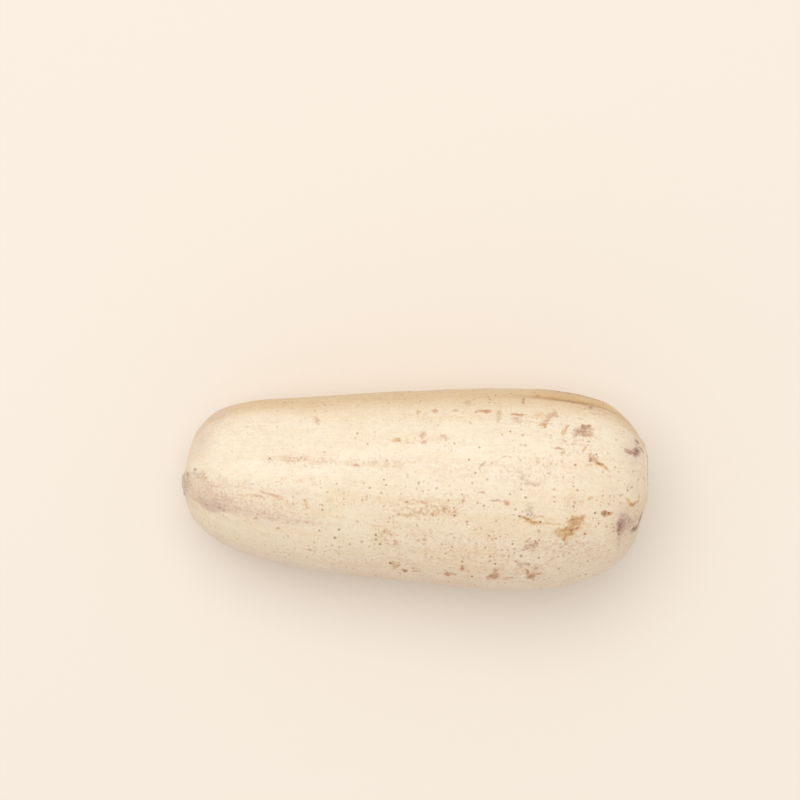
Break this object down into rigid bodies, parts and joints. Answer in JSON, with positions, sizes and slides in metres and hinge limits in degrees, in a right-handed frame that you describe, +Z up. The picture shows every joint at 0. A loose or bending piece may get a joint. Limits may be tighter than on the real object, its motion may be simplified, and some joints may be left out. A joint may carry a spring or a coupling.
{
  "type": "lotus root",
  "caption": "Whole lotus root segment lying on its side: a thick spindle tapering to one end, cream skin with brown scars, trimmed at both nodes.",
  "frame": {"origin": "on the surface the root lies on, below the middle of its bounding box", "axes": "+Z up; +X along the segment from its small tip to its thick butt; +Y to the left of +X, across the segment"},
  "size_m": [0.2, 0.0856, 0.0813],
  "materials": {
    "skin": "satin"
  },
  "bodies": {
    "root": {"lotus_root": "skin"}
  },
  "joints": []
}
